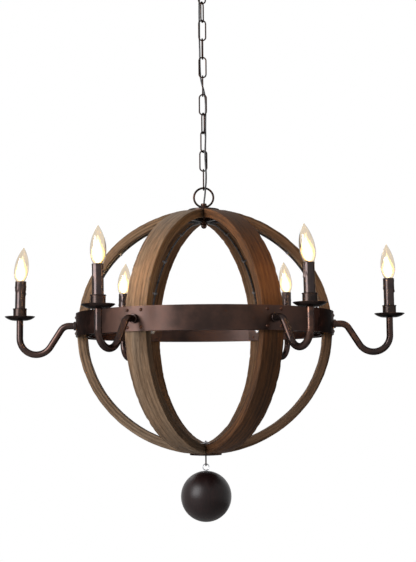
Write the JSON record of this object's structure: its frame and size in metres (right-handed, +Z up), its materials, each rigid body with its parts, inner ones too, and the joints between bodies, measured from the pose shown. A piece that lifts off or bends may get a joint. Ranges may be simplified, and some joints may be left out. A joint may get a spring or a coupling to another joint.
{
  "type": "orb chandelier",
  "caption": "Hanging orb chandelier of bent wooden ribs and steel bands, with candle arms, a ball below and a chain up to a ceiling canopy.",
  "frame": {"origin": "middle of the ceiling plane, between the two crossbar screws, at the canopy's rim", "axes": "+Z up; +X along the crossbar and out through the first rib and arm; +Y towards the back"},
  "size_m": [0.962, 0.8426, 1.3667],
  "materials": {
    "dark_bronze": "dark oil-rubbed bronze, satin",
    "band_steel": "dark bronzed steel strip, satin, slightly worn",
    "copper_bronze": "oil-rubbed bronze with coppery highlights",
    "chain_bronze": "dark bronze wire",
    "zinc": "bright zinc plate",
    "black_cable": "glossy black sheath",
    "stained_wood": "weathered grey-brown stain, grain along the rib",
    "ball_wood": "dark stained, satin",
    "candle_sleeve": "dark bronze finish over moulded wax drips",
    "socket_black": "moulded black",
    "bulb_glass": "frosted warm candle bulb on a screw base"
  },
  "bodies": {
    "ceiling_fixture": {"canopy_shell": "dark_bronze", "canopy_crossbar": "zinc", "canopy_nipple": "zinc", "canopy_locknut": "zinc", "canopy_loop": "dark_bronze", "supply_cord": "black_cable"},
    "link_1": {"chain_link_01": "chain_bronze"},
    "chain": {"chain_link_02": "chain_bronze", "chain_link_03": "chain_bronze", "chain_link_04": "chain_bronze", "chain_link_05": "chain_bronze", "chain_link_06": "chain_bronze", "chain_link_07": "chain_bronze", "chain_link_08": "chain_bronze", "chain_link_09": "chain_bronze", "chain_link_10": "chain_bronze"},
    "link_11": {"chain_link_11": "chain_bronze"},
    "orb": {"hanging_loop": "dark_bronze", "top_cap": "dark_bronze", "hub_nipple": "zinc", "hub_plate": "dark_bronze", "hub_finial": "dark_bronze", "rib_1": "stained_wood", "rib_2": "stained_wood", "rib_3": "stained_wood", "rib_4": "stained_wood", "rib_5": "stained_wood", "rib_6": "stained_wood", "bottom_cap": "dark_bronze", "bottom_plate": "dark_bronze", "ball_hook": "chain_bronze", "hook_nut": "zinc", "outer_band": "band_steel", "inner_band": "band_steel", "band_rivets": "copper_bronze", "arm_tube_1": "copper_bronze", "arm_tube_2": "copper_bronze", "arm_tube_3": "copper_bronze", "arm_tube_4": "copper_bronze", "arm_tube_5": "copper_bronze", "arm_tube_6": "copper_bronze", "arm_collars": "copper_bronze", "arm_nipples": "zinc", "arm_nuts": "zinc", "drip_pans": "copper_bronze", "candle_cups": "copper_bronze", "candle_nipples": "zinc", "candle_sleeves": "candle_sleeve", "lamp_sockets": "socket_black", "rib_wires": "black_cable", "wire_clips": "black_cable"},
    "ball": {"ball": "ball_wood", "ball_eye": "zinc"},
    "lamp_1": {"bulb_1": "bulb_glass"},
    "lamp_2": {"bulb_2": "bulb_glass"},
    "lamp_3": {"bulb_3": "bulb_glass"},
    "lamp_4": {"bulb_4": "bulb_glass"},
    "lamp_5": {"bulb_5": "bulb_glass"},
    "lamp_6": {"bulb_6": "bulb_glass"}
  },
  "joints": [
    {"name": "link_1_swing", "type": "hinge", "parent": "ceiling_fixture", "child": "link_1", "pos_m": [0, 0, -0.0616], "axis": [0, 1, 0], "range_deg": [-40, 40], "deforming": ["supply_cord"]},
    {"name": "chain_swing", "type": "hinge", "parent": "link_1", "child": "chain", "pos_m": [0, 0, -0.1075], "axis": [0.9848, 0.1736, 0], "range_deg": [-40, 40], "deforming": ["supply_cord"]},
    {"name": "link_11_swing", "type": "hinge", "parent": "chain", "child": "link_11", "pos_m": [0, 0, -0.5251], "axis": [-0.9848, 0.1736, 0], "range_deg": [-40, 40], "deforming": ["supply_cord"]},
    {"name": "orb_swing", "type": "hinge", "parent": "link_11", "child": "orb", "pos_m": [0, 0, -0.5715], "axis": [0, -1, 0], "range_deg": [-40, 40], "deforming": ["supply_cord"]},
    {"name": "ball_swing", "type": "hinge", "parent": "orb", "child": "ball", "pos_m": [0, 0, -1.23405], "axis": [0, 1, 0], "range_deg": [-50, 50]},
    {"name": "bulb_1_unscrew", "type": "slide", "parent": "orb", "child": "lamp_1", "axis": [0, 0, 1], "range_m": [0, 0.022]},
    {"name": "bulb_2_unscrew", "type": "slide", "parent": "orb", "child": "lamp_2", "axis": [0, 0, 1], "range_m": [0, 0.022]},
    {"name": "bulb_3_unscrew", "type": "slide", "parent": "orb", "child": "lamp_3", "axis": [0, 0, 1], "range_m": [0, 0.022]},
    {"name": "bulb_4_unscrew", "type": "slide", "parent": "orb", "child": "lamp_4", "axis": [0, 0, 1], "range_m": [0, 0.022]},
    {"name": "bulb_5_unscrew", "type": "slide", "parent": "orb", "child": "lamp_5", "axis": [0, 0, 1], "range_m": [0, 0.022]},
    {"name": "bulb_6_unscrew", "type": "slide", "parent": "orb", "child": "lamp_6", "axis": [0, 0, 1], "range_m": [0, 0.022]}
  ]
}
